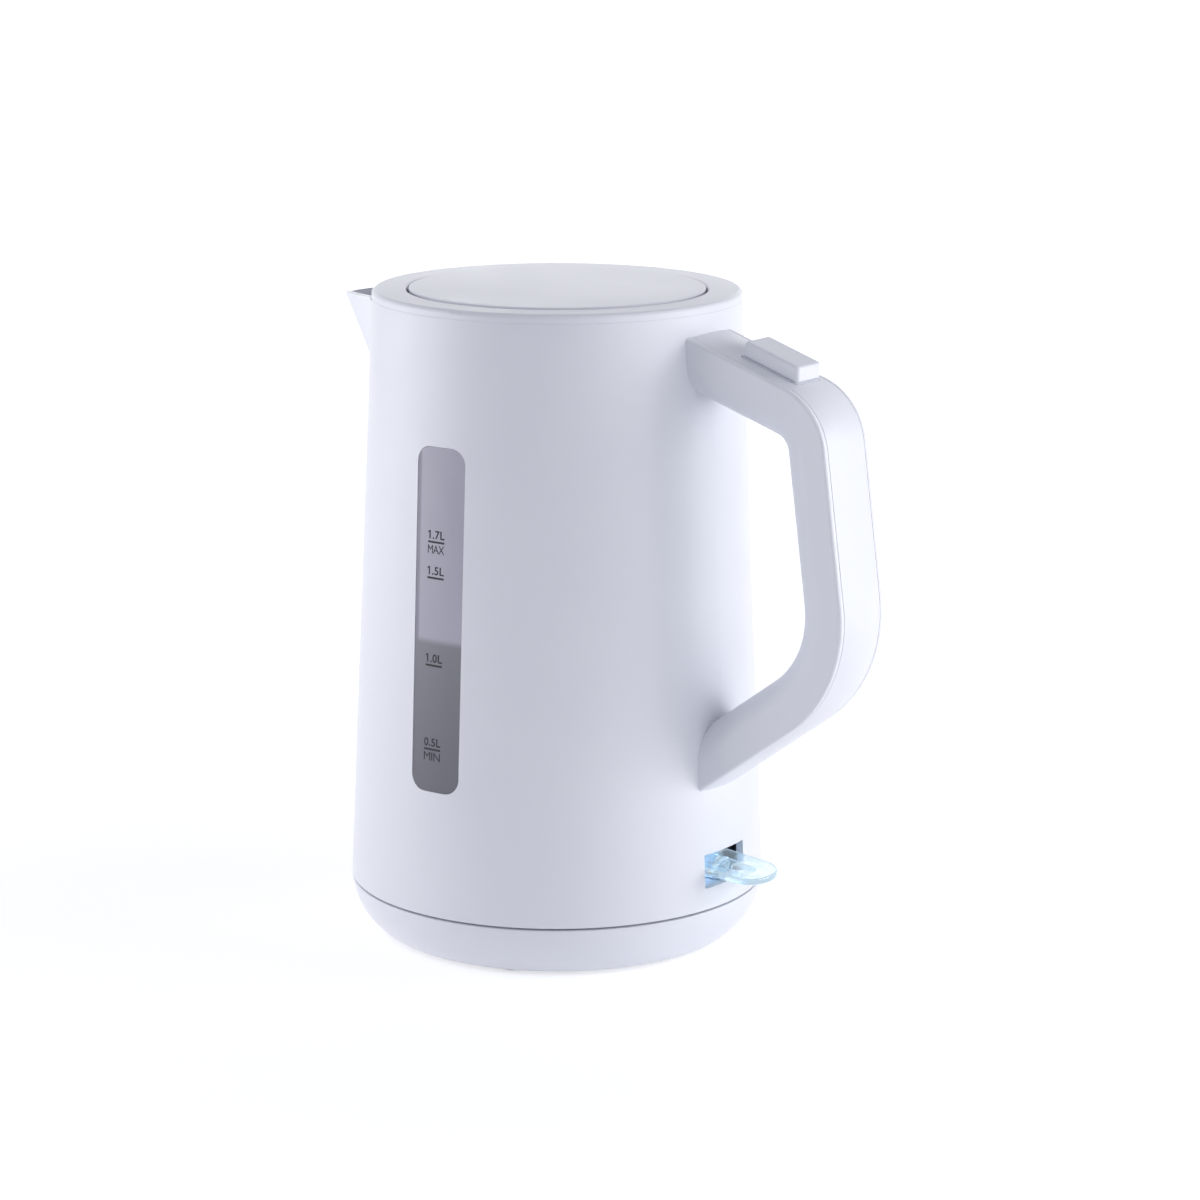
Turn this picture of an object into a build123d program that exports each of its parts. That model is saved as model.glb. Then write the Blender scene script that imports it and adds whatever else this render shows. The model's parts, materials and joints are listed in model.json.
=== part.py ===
from build123d import *
import math
import os

os.makedirs("parts", exist_ok=True)

# Frame: millimetres, +Z up, table at z = 0, kettle axis on Z.
# The handle points to +X, the spout to -X and the water window to -Y.

# Outline of the kettle
base_height = 21.0
seam_gap = 0.8
seam_edge = 0.5
seam_radius = 78.5
body_height = 224.0
top_radius = 68.6
wall = 3.0

# Clearances
fit_gap = 0.15
run_gap = 0.05
move_gap = 0.4

# Power base
foot_height = 1.5
foot_radius = 4.5
foot_inset = 8.0
foot_angles = (-70, 50, 170)
foot_pocket = 1.5
base_tuck = 11.5
base_round = 25.0
base_wall = 2.5
base_plate = 3.0
hub_radius = 21.5
hub_wall = 2.4
hub_height = 9.5
socket_rise = 1.5
socket_flange = 4.0
base_screw_inset = 17.0
base_screw_angles = (-10, 110, 230)
inlet_radius = 5.0
inlet_flange = 6.2
inlet_height = 11.0
inlet_recess = 2.0
cord_radius = 3.0

# Screws and their posts
screw_radius = 1.5
screw_head_radius = 3.2
screw_head = 1.8
screw_bite = 9.0
post_radius = 4.2

# Plug between jug and base
plug_gap = 0.8
plug_flange = 2.7
plug_pin_radius = 3.4
plug_ring_radius = 10.0
plug_ring_wall = 2.0
plug_depth = 8.0
spigot_radius = 8.0
spigot_height = 4.0

# Underside of the jug
floor_height = 32.0
ledge = 3.5
ledge_width = 18.2
seal_thickness = 1.5
seal_width = 5.0
plate_thickness = 1.2
bottom_thickness = 2.5
bottom_drop = 2.2
rest_ring_inset = 14.5
rest_ring_width = 4.0
bottom_screw_inset = 12.5
bottom_screw_angles = (100, 220, 300)
element_inset = 18.0
element_width = 7.0
element_height = 7.0
element_arc = 300.0
cold_pin_radius = 1.6
cold_pin_length = 6.0

# Control and switch
control_radius = 24.0
arm_width = 16.0
arm_thickness = 3.5
arm_setback = 8.5
arm_plate = 3.0
bimetal_radius = 5.0
bimetal_thickness = 0.5
lamp_radius = 2.4
lamp_length = 7.0
switch_pivot_inset = 14.5
switch_pivot_height = 16.4
switch_droop = 5.7
switch_pin_radius = 1.5
switch_boss_radius = 3.2
switch_boss_width = 16.0
ear_thickness = 3.0
ear_reach = 4.5
paddle_width = 24.4
paddle_reach = 33.6
paddle_tip = 9.7
paddle_thickness = 2.6
paddle_edge = 0.8
finger_dish = 0.6
finger_dish_round = 40.0
rib_width = 1.2
rib_depth = 1.6
rib_spread = 4.6
light_boss_radius = 4.3
light_boss_drop = 1.6
light_boss_start = 10.4
light_boss_length = 2.5
switch_slot_low = 8.6
switch_slot_height = 12.8
switch_slot_corner = 0.6
switch_slot_play = 0.6

# Steam tube up the inside of the wall
steam_outer = 4.5
steam_bore = 3.0
steam_angle = 35.0
steam_stand_off = 1.0
steam_top = 23.0
steam_below_ledge = 4.0

# Water window
window_width = 21.4
window_height = 127.0
window_low = 47.3
window_corner = 6.0
window_recess = 0.15
window_lip = 4.0
window_lip_thickness = 2.0
window_seal = 1.0

# Spout
spout_overhang = 29.7
spout_drop = 9.5
keel_lean = 27.1
spout_half_angle = 43.0
rim_rise = 8.0
spout_wall = 2.4
keel_round = 11.0
spout_depth = 50.0

# Spout filter
filter_half_angle = 29.0
filter_thickness = 2.4
filter_border = 5.0
filter_ribs = 2
filter_rib_width = 2.0
mesh_thickness = 0.5
mesh_grip = 1.2
shelf_half_angle = 18.0
shelf_width = 6.0
shelf_thickness = 2.0
filter_foot = 58.5

# Collar and lid
collar_height = 3.4
collar_rim = 12.8
collar_edge = 1.7
collar_lip_edge = 1.2
collar_plate = 2.6
collar_wall = 2.2
collar_skirt = 9.0
spigot_drop = 6.0
parting_groove = 0.15
lid_gap = 0.75
lid_proud = 0.45
lid_edge = 0.6
lid_dish = 0.8
lid_plate = 2.4
lid_depth = 8.6
lid_draft = 1.2
lid_wall = 2.2
lid_tray = 3.0
lid_rest_half_angle = 50.0
lid_rest_width = 2.6
lid_rest_thickness = 1.4

# Lid hinge and catch
hinge_setback = 18.25
hinge_drop = 1.1
hinge_pin_radius = 0.7
hinge_pin_grip = 6.0
hinge_pin_reach = 6.0
catch_width = 10.0
catch_thickness = 3.0
catch_drop = 17.0
heel_thickness = 2.4
heel_over = 0.5
leaf_toe = 3.0
leaf_thickness = 0.5
leaf_width = 6.0

# Handle
arm_slope = 18.5
arm_root_drop = 11.4
handle_reach = 55.9
grip_lean = 7.84
lower_corner_height = 92.4
lower_slope = 36.4
upper_round = 26.0
lower_round = 52.0
handle_width = 29.0
handle_depth = 20.0
handle_inner_round = 11.0
handle_outer_round = 1.2
handle_wall = 2.4
cover_rim = 2.2
cover_ledge = 1.4
cover_thickness = 2.4
cover_crown = 1.0
cover_groove = 0.35
groove_depth = 0.5

# Release button and latch, measured along the handle's upper arm from its root
button_place = 31.0
button_length = 25.6
button_width = 15.2
button_proud = 5.8
button_lean = 17.0
button_gap = 0.25
button_corner = 1.6
button_edge = 1.0
button_flange = 1.0
button_flange_thickness = 1.4
button_travel = 3.0
latch_travel = 4.0
latch_width = 10.0
latch_thickness = 4.5
latch_depth = 9.0
latch_tail = 38.0
stem_width = 5.2
stem_place = 22.0
stem_tip = 4.0
stem_drop = 3.5
spring_room = 9.0
spring_radius = 1.8
spring_wire = 0.6
spring_turns = 5
spring_stop = 2.0

# Heights above the table
z_seam = base_height
z_base_top = z_seam - seam_gap / 2
z_jug = z_seam + seam_gap / 2
z_top = z_seam + body_height
z_part = z_top - collar_height
z_floor = z_seam + floor_height
z_ledge = z_floor - ledge
z_plate_top = z_ledge - seal_thickness
z_plate = z_plate_top - plate_thickness
z_base_plate = foot_height + base_plate
z_base_under = z_base_top - base_wall
z_hub = z_base_top + hub_height
z_socket = z_hub + socket_rise
z_plug = z_socket + plug_gap
z_control = z_plug + plug_flange
z_bottom = z_jug + bottom_drop
z_bottom_top = z_bottom + bottom_thickness
z_lid_top = z_top + lid_proud
z_lid_under = z_top - lid_depth
z_hinge = z_top - hinge_drop

# Radii that follow from the outline
spout_reach = top_radius + spout_overhang
rim_radius = seam_radius - move_gap / 2
underside_radius = seam_radius - base_tuck
foot_circle = underside_radius - foot_inset
base_screw_circle = underside_radius - base_screw_inset
bottom_screw_circle = seam_radius - bottom_screw_inset
rest_ring_radius = seam_radius - rest_ring_inset
switch_pivot_x = seam_radius - switch_pivot_inset
arm_reach = switch_pivot_x - arm_setback
hub_bore = hub_radius - hub_wall
well_radius = hub_radius + 2 * move_gap
collar_bore = top_radius - collar_rim
lid_radius = collar_bore - lid_gap
hinge_x = lid_radius - hinge_setback


def body_radius(z):
    """Outer radius of the tapered body at a height."""
    return seam_radius + (top_radius - seam_radius) * (z - z_seam) / body_height


ledge_bore = body_radius(z_ledge) - wall - ledge_width
element_radius = ledge_bore - element_inset


def taper(z_low, z_high, inset=0.0):
    """The body's taper between two heights, drawn in from the outer face."""
    return Pos(0, 0, z_low) * Cone(
        body_radius(z_low) - inset,
        body_radius(z_high) - inset,
        z_high - z_low,
        align=(Align.CENTER, Align.CENTER, Align.MIN),
    )


def drum(radius, z_low, z_high):
    """An upright cylinder on the kettle's axis."""
    return Pos(0, 0, z_low) * Cylinder(
        radius, z_high - z_low, align=(Align.CENTER, Align.CENTER, Align.MIN)
    )


def turned(edges):
    """A profile of edges, radius by height, turned about the kettle's axis."""
    return revolve(Plane.XZ * make_face(edges), Axis.Z)


def ring(outer, inner, z_low, z_high):
    """A plain ring on the kettle's axis."""
    return drum(outer, z_low, z_high) - drum(inner, z_low, z_high)


def sector(half_angle, middle, z_low, z_high):
    """A wedge of space about the axis, used to keep part of a turned ring."""
    reach = 2 * seam_radius
    side = reach * math.tan(math.radians(half_angle))
    wedge = make_face(Polyline((0, 0), (reach, -side), (reach, side), close=True))
    return Rot(0, 0, middle) * Pos(0, 0, z_low) * extrude(wedge, z_high - z_low)


def polar(radius, angle, z):
    """A place at a radius and angle about the axis."""
    turn = math.radians(angle)
    return Pos(radius * math.cos(turn), radius * math.sin(turn), z)


def slab(low, high):
    """A block between two corners."""
    size = [b - a for a, b in zip(low, high)]
    middle = [(a + b) / 2 for a, b in zip(low, high)]
    return Pos(*middle) * Box(*size)


def screw(z_head, upwards):
    """A pan-head screw on the axis, its head's bearing face at z_head."""
    head = Cylinder(screw_head_radius, screw_head, align=(Align.CENTER, Align.CENTER, Align.MAX))
    head = chamfer(head.edges().sort_by(Axis.Z)[0], screw_head / 3)
    shank = Cylinder(screw_radius, upwards, align=(Align.CENTER, Align.CENTER, Align.MIN))
    slot = Pos(0, 0, -screw_head) * Box(screw_head_radius * 1.2, screw_head / 3, screw_head)
    return Pos(0, 0, z_head) * (head + shank - slot)


def group(shapes):
    """Separate solids that share one node."""
    return Compound(children=list(shapes))


def save(node, shape):
    """Write one node."""
    export_step(shape, f"parts/{node}.step")


# Spout: a straight-keeled beak, worked in a plane square to its keel
lean = math.radians(keel_lean)
spout_tip = (-spout_reach, 0, z_top - spout_drop)
keel = (math.sin(lean), 0, -math.cos(lean))
rim = math.radians(rim_rise)


def beak(inset):
    """The beak's V, drawn in by a wall, running along the keel."""
    half = math.radians(spout_half_angle)
    start = (inset - keel_round) / math.sin(half) + keel_round
    side = spout_depth * math.tan(half)
    outline = Polyline((0, start), (side, start + spout_depth), (-side, start + spout_depth), close=True)
    above = spout_reach - top_radius
    below = (spout_reach - top_radius + 2 * wall) / math.sin(lean)
    section = Plane(spout_tip, x_dir=(0, 1, 0), z_dir=keel) * Pos(0, 0, -above) * make_face(outline)
    solid = extrude(section, above + below, dir=keel)
    edge = solid.edges().filter_by(Axis((0, 0, 0), keel)).sort_by(Axis.X)[0]
    return fillet(edge, keel_round - inset)


above_rim = Plane(
    spout_tip,
    x_dir=(math.cos(rim), 0, math.sin(rim)),
    z_dir=(-math.sin(rim), 0, math.cos(rim)),
) * Box(4 * spout_reach, 4 * spout_reach, spout_reach, align=(Align.CENTER, Align.CENTER, Align.MIN))
below_collar = drum(2 * spout_reach, 0, z_part)
spout_outer = (beak(0.0) - above_rim) & below_collar
spout_channel = beak(spout_wall) & below_collar


# Water window opening
def window_block(grow):
    """The window's rounded outline, grown or shrunk, through the wall at -Y."""
    height = window_height + 2 * grow
    outline = RectangleRounded(window_width + 2 * grow, height, window_corner + grow)
    z_middle = z_seam + window_low + window_height / 2
    return Plane((0, 0, z_middle), x_dir=(1, 0, 0), z_dir=(0, -1, 0)) * extrude(outline, 2 * seam_radius)


def wall_layer(outer_inset, inner_inset):
    """A thin layer that follows the body's wall."""
    return taper(z_ledge, z_part, outer_inset) - taper(z_ledge, z_part, inner_inset)


# Switch opening
z_slot = z_seam + switch_slot_low
slot_face = RectangleRounded(
    paddle_width + 2 * switch_slot_play, switch_slot_height, switch_slot_corner
)
switch_opening = Plane(
    (arm_reach, 0, z_slot + switch_slot_height / 2), x_dir=(0, 1, 0), z_dir=(1, 0, 0)
) * extrude(slot_face, seam_radius)

# Handle: outer line of the C in the XZ plane, then sections along it
slope = math.radians(arm_slope)
arm_root = (body_radius(z_top - arm_root_drop), z_top - arm_root_drop)
upper_corner_x = top_radius + handle_reach
upper_corner = (upper_corner_x, arm_root[1] - (upper_corner_x - arm_root[0]) * math.tan(slope))
z_lower_corner = z_seam + lower_corner_height
lower_corner = (
    upper_corner[0] + (upper_corner[1] - z_lower_corner) * math.tan(math.radians(grip_lean)),
    z_lower_corner,
)
run_in = handle_depth
arm_start = (arm_root[0] - run_in * math.cos(slope), arm_root[1] + run_in * math.sin(slope))
foot_run = (lower_corner[0] - seam_radius) + run_in
foot_end = (
    lower_corner[0] - foot_run,
    lower_corner[1] - foot_run * math.tan(math.radians(lower_slope)),
)
handle_line = FilletPolyline(
    *[(x, 0, z) for x, z in (arm_start, upper_corner, lower_corner, foot_end)],
    radius=[upper_round, lower_round],
)
handle_start = Plane(
    (arm_start[0], 0, arm_start[1]),
    x_dir=(0, 1, 0),
    z_dir=(math.cos(slope), 0, -math.sin(slope)),
)
body_solid = taper(z_jug, z_top)


def along_handle(face):
    """Sweep a section along the handle's outer line."""
    return sweep(handle_start * face, handle_line)


def bar_face(width, top, bottom, inner_round, outer_round=0.0):
    """A D-shaped section: flat outer side, rounded inner side."""
    face = Pos(0, (top + bottom) / 2) * Rectangle(width, top - bottom)
    corners = face.vertices().sort_by(Axis.Y)
    face = fillet(corners[:2], inner_round)
    if outer_round:
        face = fillet(face.vertices().sort_by(Axis.Y)[-2:], outer_round)
    return face


# Frame on the upper arm: x runs out along the arm, z is square to its outer face
arm = Plane(
    (arm_root[0], 0, arm_root[1]),
    x_dir=(math.cos(slope), 0, -math.sin(slope)),
    z_dir=(math.sin(slope), 0, math.cos(slope)),
)


def on_arm(low, high):
    """A block between two corners in the upper arm's frame."""
    return arm * slab(low, high)


# The latch bolt's nose stops just clear of the lid's heel
heel_x = collar_bore + heel_over
latch_low = -latch_depth - latch_thickness
nose_x = heel_x + 2 * move_gap
latch_nose = (nose_x - arm_root[0] + latch_depth * math.sin(slope)) / math.cos(slope)
latch_passage = on_arm(
    (latch_nose - latch_travel, -latch_width / 2 - move_gap, latch_low),
    (button_place, latch_width / 2 + move_gap, -latch_depth + move_gap),
)


# Steam tube: follows the slope of the wall
def steam_rod(radius, z_low, z_high):
    """A straight rod along the inside of the wall at the steam tube's place."""
    offset = wall + steam_stand_off + steam_outer
    low = polar(body_radius(z_low) - offset, steam_angle, z_low).position
    high = polar(body_radius(z_high) - offset, steam_angle, z_high).position
    path = Line(low, high)
    return sweep(Plane(low, z_dir=high - low) * Circle(radius), path)


z_steam_low = z_ledge - steam_below_ledge
z_steam_top = z_top - steam_top


# Power base, from the table up
def make_base_shell():
    """Bowl with a flat top and a raised hub round the socket."""
    outer_foot = (underside_radius, foot_height)
    inner_foot = (underside_radius - base_wall, foot_height)
    inner_rim = (rim_radius - base_wall, z_base_under)
    shell = turned([
        Polyline(
            (hub_bore, z_base_under),
            (hub_bore, z_hub),
            (hub_radius, z_hub),
            (hub_radius, z_base_top),
            (rim_radius, z_base_top),
        ),
        RadiusArc((rim_radius, z_base_top), outer_foot, base_round),
        Line(outer_foot, inner_foot),
        RadiusArc(inner_foot, inner_rim, -(base_round - base_wall)),
        Line(inner_rim, (hub_bore, z_base_under)),
    ])
    for angle in base_screw_angles:
        shell += polar(base_screw_circle, angle, z_base_plate) * Cylinder(
            post_radius, z_base_under - z_base_plate, align=(Align.CENTER, Align.CENTER, Align.MIN)
        )
        shell -= polar(base_screw_circle, angle, z_base_plate) * Cylinder(
            screw_radius, screw_bite, align=(Align.CENTER, Align.CENTER, Align.MIN)
        )
    shell -= inlet_rod(inlet_radius, 0, rim_radius)
    rim_edge = shell.edges().filter_by(GeomType.CIRCLE).sort_by(SortBy.RADIUS)[-1]
    return fillet(rim_edge, seam_edge)


def inlet_rod(radius, y_low, y_high):
    """A rod along +Y through the back of the base, at the cord inlet."""
    return Plane((0, y_low, inlet_height), z_dir=(0, 1, 0)) * Cylinder(
        radius, y_high - y_low, align=(Align.CENTER, Align.CENTER, Align.MIN)
    )


def base_face(z):
    """Outer radius of the base's bowl at a height."""
    low = Vector(underside_radius, foot_height)
    high = Vector(rim_radius, z_base_top)
    chord = high - low
    rise = math.sqrt(base_round**2 - (chord.length / 2) ** 2)
    middle = low + chord / 2 + Vector(-chord.Y, chord.X).normalized() * rise
    return middle.X + math.sqrt(base_round**2 - (z - middle.Y) ** 2)


def make_cord_inlet():
    """Gland where the cord would enter; its recess is blind."""
    y_face = base_face(inlet_height)
    y_flange = base_face(inlet_height - inlet_flange) - 1.5 * base_wall
    body = inlet_rod(inlet_radius, y_flange, y_face)
    body += inlet_rod(inlet_flange, y_flange - base_wall, y_flange)
    return body - inlet_rod(cord_radius, y_face - inlet_recess, y_face)


def make_base_bottom():
    """Flat plate under the base, with pockets for feet and screw heads."""
    plate = drum(underside_radius - base_wall - fit_gap, foot_height, z_base_plate)
    for angle in foot_angles:
        plate -= polar(foot_circle, angle, foot_height) * Cylinder(
            foot_radius, foot_pocket, align=(Align.CENTER, Align.CENTER, Align.MIN)
        )
    for angle in base_screw_angles:
        place = polar(base_screw_circle, angle, z_base_plate)
        plate -= place * Cylinder(screw_radius + fit_gap, 2 * base_plate)
        plate -= place * Pos(0, 0, -base_plate) * Cylinder(
            screw_head_radius + move_gap, screw_head, align=(Align.CENTER, Align.CENTER, Align.MIN)
        )
    return plate


def make_base_feet():
    """Rubber pads pressed into the bottom plate."""
    height = foot_height + foot_pocket
    pad = Cylinder(foot_radius, height, align=(Align.CENTER, Align.CENTER, Align.MIN))
    pad = chamfer(pad.edges().sort_by(Axis.Z)[0], foot_height / 4)
    return group(polar(foot_circle, angle, 0) * pad for angle in foot_angles)


def make_base_screws():
    """Screws that hold the bottom plate to the bowl's posts."""
    z_head = foot_height + screw_head
    length = z_base_plate - z_head + screw_bite
    return group(polar(base_screw_circle, a, 0) * screw(z_head, length) for a in base_screw_angles)


def make_base_socket():
    """Round socket that takes the jug's plug at any turn."""
    socket = drum(hub_bore - fit_gap, z_base_under, z_socket)
    socket = chamfer(socket.edges().sort_by(Axis.Z)[-1], socket_rise / 2)
    socket += drum(hub_radius + socket_flange, z_base_under - base_wall, z_base_under)
    z_hole = z_plug - plug_depth - 2 * plug_gap
    socket -= drum(plug_pin_radius + move_gap, z_hole, z_socket)
    socket -= ring(
        plug_ring_radius + move_gap,
        plug_ring_radius - plug_ring_wall - move_gap,
        z_hole,
        z_socket,
    )
    return socket


def make_jug_connector():
    """Plug under the control: centre pin and ring, round all over."""
    plug = drum(hub_radius, z_plug, z_control)
    plug += drum(spigot_radius, z_control, z_control + spigot_height)
    pin = drum(plug_pin_radius, z_plug - plug_depth, z_plug)
    plug += fillet(pin.edges().sort_by(Axis.Z)[0], plug_pin_radius / 2)
    plug += ring(plug_ring_radius, plug_ring_radius - plug_ring_wall, z_plug - plug_depth, z_plug)
    return plug


# Jug, from the bottom cover up
def make_jug_bottom():
    """Cover under the jug: resting ring, well for the hub and screw holes."""
    cover = taper(z_bottom, z_bottom_top, wall + fit_gap)
    cover += ring(
        rest_ring_radius + rest_ring_width / 2,
        rest_ring_radius - rest_ring_width / 2,
        z_base_top,
        z_bottom,
    )
    cover += drum(well_radius + bottom_thickness, z_bottom, z_control - move_gap)
    cover -= drum(well_radius, z_base_top, z_control)
    for angle in bottom_screw_angles:
        place = polar(bottom_screw_circle, angle, z_bottom_top - screw_head / 2)
        cover -= place * Cylinder(screw_radius + fit_gap, 4 * bottom_thickness)
        cover -= place * Cylinder(
            screw_head_radius + move_gap, z_bottom, align=(Align.CENTER, Align.CENTER, Align.MAX)
        )
    return cover


def make_bottom_screws():
    """Screws from the bottom cover up into the body's posts."""
    z_head = z_bottom_top - screw_head / 2
    length = screw_head / 2 + screw_bite
    return group(
        polar(bottom_screw_circle, a, 0) * screw(z_head, length) for a in bottom_screw_angles
    )


def make_body_shell():
    """Tapered body with beak, floor ledge, window, switch and latch openings."""
    shell = taper(z_jug, z_part) + spout_outer
    shell -= taper(z_floor, z_top, wall)
    shell -= taper(0, z_ledge, wall)
    shell -= drum(ledge_bore, z_ledge, z_floor)
    shell -= spout_channel
    z_shelf = z_part - filter_foot - shelf_thickness
    shelf = taper(z_shelf, z_shelf + shelf_thickness, wall / 2)
    shelf -= drum(body_radius(z_shelf) - wall - shelf_width, z_shelf, z_part)
    shell += shelf & sector(shelf_half_angle, 180, z_shelf, z_part)
    for angle in bottom_screw_angles:
        place = polar(bottom_screw_circle, angle, z_bottom_top)
        shell += place * Cylinder(
            post_radius, z_ledge - z_bottom_top, align=(Align.CENTER, Align.CENTER, Align.MIN)
        )
        shell -= place * Cylinder(
            screw_radius, screw_bite, align=(Align.CENTER, Align.CENTER, Align.MIN)
        )
    shell -= window_block(0.0)
    shell -= switch_opening
    shell -= latch_passage
    shell -= steam_rod(steam_outer, z_steam_low, z_floor + ledge)
    top_edge = shell.edges().filter_by(GeomType.CIRCLE).group_by(Axis.Z)[-1].sort_by(SortBy.RADIUS)[-1]
    shell = chamfer(top_edge, parting_groove)
    low_edge = shell.edges().filter_by(GeomType.CIRCLE).group_by(Axis.Z)[0].sort_by(SortBy.RADIUS)[-1]
    return fillet(low_edge, seam_edge)


def make_water_window():
    """Clear pane with a lip behind the wall."""
    lip_start = wall + window_seal
    lip_end = lip_start + window_lip_thickness
    pane = window_block(-fit_gap) & wall_layer(window_recess, lip_end)
    return pane + (window_block(window_lip) & wall_layer(lip_start, lip_end))


def make_window_gasket():
    """Seal between the pane's lip and the wall."""
    frame = window_block(window_lip) - window_block(0.0)
    return frame & wall_layer(wall, wall + window_seal)


def make_plate_gasket():
    """Seal between the heater plate and the floor ledge."""
    return ring(ledge_bore + seal_width, ledge_bore, z_plate_top, z_ledge)


def make_heater_plate():
    """Steel floor of the water space, with a raised middle."""
    edge = ledge_bore + seal_width
    middle = ledge_bore - seal_width
    return turned([
        Polyline(
            (0, z_plate),
            (edge, z_plate),
            (edge, z_plate_top),
            (ledge_bore, z_plate_top),
            (middle, z_plate_top + plate_thickness),
            (0, z_plate_top + plate_thickness),
            close=True,
        )
    ])


def make_heating_element():
    """Sheathed element: an open ring against the plate, with two cold pins."""
    z_low = z_plate - element_height
    face = Pos(element_radius, (z_low + z_plate) / 2) * Rectangle(element_width, element_height)
    face = fillet(face.vertices().sort_by(Axis.Y)[:2], element_width / 2.2)
    sheath = revolve(Plane.XZ * face, Axis.Z, element_arc)
    gap = (360 - element_arc) / 2
    sheath = Rot(0, 0, 180 + gap) * sheath
    for angle in (180 + gap + gap / 4, 180 - gap - gap / 4):
        sheath += polar(element_radius, angle, z_low - cold_pin_length) * Cylinder(
            cold_pin_radius,
            cold_pin_length + element_height / 2,
            align=(Align.CENTER, Align.CENTER, Align.MIN),
        )
    return sheath


z_arm_top = z_control + arm_thickness
switch_pivot = (switch_pivot_x, z_seam + switch_pivot_height)
z_lamp = z_bottom_top + lamp_radius + 2 * move_gap


def cross_rod(radius, half_length):
    """A rod along Y at the switch pivot."""
    return Plane((switch_pivot[0], 0, switch_pivot[1]), z_dir=(0, 1, 0)) * Cylinder(
        radius, 2 * half_length
    )


ear_inner = switch_boss_width / 2 + move_gap
ear_outer = ear_inner + ear_thickness


def make_control_housing():
    """Control under the plate, with an arm and two ears for the switch."""
    housing = drum(control_radius, z_control, z_plate)
    housing += slab((0, -arm_width / 2, z_control), (arm_reach, arm_width / 2, z_arm_top))
    z_ear_top = switch_pivot[1] + ear_reach
    z_ear_low = z_bottom_top + move_gap
    housing += slab(
        (arm_reach - arm_plate, -ear_outer, z_ear_low), (arm_reach, ear_outer, z_arm_top)
    )
    for side in (-1, 1):
        y_low, y_high = sorted((side * ear_inner, side * ear_outer))
        housing += slab(
            (arm_reach - arm_plate, y_low, z_ear_low),
            (switch_pivot[0] + ear_reach, y_high, z_ear_top),
        )
    housing -= drum(spigot_radius + run_gap, z_control, z_control + spigot_height + move_gap)
    return housing - cross_rod(switch_pin_radius, ear_outer)


def make_bimetal_disc():
    """Snap disc that trips the switch, on the control's arm."""
    x_disc = element_radius + element_width / 2 + bimetal_radius + fit_gap
    return Pos(x_disc, 0, z_arm_top) * Cylinder(
        bimetal_radius, bimetal_thickness, align=(Align.CENTER, Align.CENTER, Align.MIN)
    )


def make_indicator_lamp():
    """Round-nosed lamp behind the paddle."""
    lamp = Plane((arm_reach, 0, z_lamp), z_dir=(1, 0, 0)) * Cylinder(
        lamp_radius, lamp_length, align=(Align.CENTER, Align.CENTER, Align.MIN)
    )
    return fillet(lamp.edges().sort_by(Axis.X)[-1], lamp_radius * 0.9)


def make_switch_pin():
    """Pivot pin of the switch, held in the control's ears."""
    return cross_rod(switch_pin_radius, ear_outer)


def make_switch_lever():
    """Clear paddle with a finger dish, two ribs, a round boss in the opening and a bored pivot."""
    droop = math.radians(switch_droop)
    place = Plane(
        (switch_pivot[0], 0, switch_pivot[1]),
        x_dir=(math.cos(droop), 0, -math.sin(droop)),
        z_dir=(math.sin(droop), 0, math.cos(droop)),
    )
    wide_start = ear_reach + 2 * move_gap
    end_middle = paddle_reach - paddle_tip
    outline = Pos((wide_start + end_middle) / 2, 0) * Rectangle(end_middle - wide_start, paddle_width)
    outline += Pos(end_middle, 0) * Ellipse(paddle_tip, paddle_width / 2)
    neck = Pos(wide_start / 2 + paddle_thickness / 2, 0) * Rectangle(
        wide_start + paddle_thickness, switch_boss_width
    )
    outline += neck
    blade = Pos(0, 0, -paddle_thickness / 2) * extrude(outline, paddle_thickness)
    blade = fillet(blade.faces().filter_by(Axis.Z).edges(), paddle_edge)
    dish_middle = Pos(end_middle, 0, paddle_thickness / 2 - finger_dish + finger_dish_round)
    blade -= dish_middle * Sphere(finger_dish_round)
    for side in (-1, 1):
        blade += slab(
            (0, side * rib_spread - rib_width / 2, -paddle_thickness / 2 - rib_depth),
            (end_middle, side * rib_spread + rib_width / 2, 0),
        )
    blade += Pos(light_boss_start, 0, -light_boss_drop) * Rot(0, 90, 0) * Cylinder(
        light_boss_radius, light_boss_length, align=(Align.CENTER, Align.CENTER, Align.MIN)
    )
    lever = place * blade + cross_rod(switch_boss_radius, switch_boss_width / 2)
    return lever - cross_rod(switch_pin_radius + run_gap, switch_boss_width)


def make_steam_tube():
    """Tube that leads steam from the top of the jug down to the control."""
    tube = steam_rod(steam_outer, z_steam_low, z_steam_top)
    return tube - steam_rod(steam_bore, z_steam_low, z_steam_top)


# Handle and its moving pieces
def make_handle_shell():
    """Channel-shaped handle with rails and a stop for the latch."""
    outer = along_handle(
        bar_face(handle_width, 0, -handle_depth, handle_inner_round, handle_outer_round)
    )
    rabbet_width = handle_width - 2 * cover_rim
    rabbet = along_handle(
        Pos(0, (cover_crown - cover_thickness) / 2)
        * Rectangle(rabbet_width, cover_crown + cover_thickness)
    )
    cavity = along_handle(
        bar_face(
            rabbet_width - 2 * cover_ledge,
            0,
            handle_wall - handle_depth,
            handle_inner_round - cover_rim - cover_ledge,
        )
    )
    shell = outer - rabbet - cavity
    rails = None
    for side in (-1, 1):
        y_low, y_high = sorted((side * (stem_width / 2 + move_gap), side * latch_width / 2))
        rail = on_arm((-run_in, y_low, -handle_depth), (latch_tail, y_high, latch_low))
        rails = rail if rails is None else rails + rail
    z_stop = -latch_depth + move_gap
    stop_start = latch_tail + spring_room
    stop = on_arm(
        (stop_start, -handle_width / 2, -handle_depth), (stop_start + spring_stop, handle_width / 2, z_stop)
    )
    shell += (rails + stop) & outer
    return shell - body_solid


button_bottom = -cover_thickness - fit_gap
button_top = cover_crown + button_proud


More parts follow.
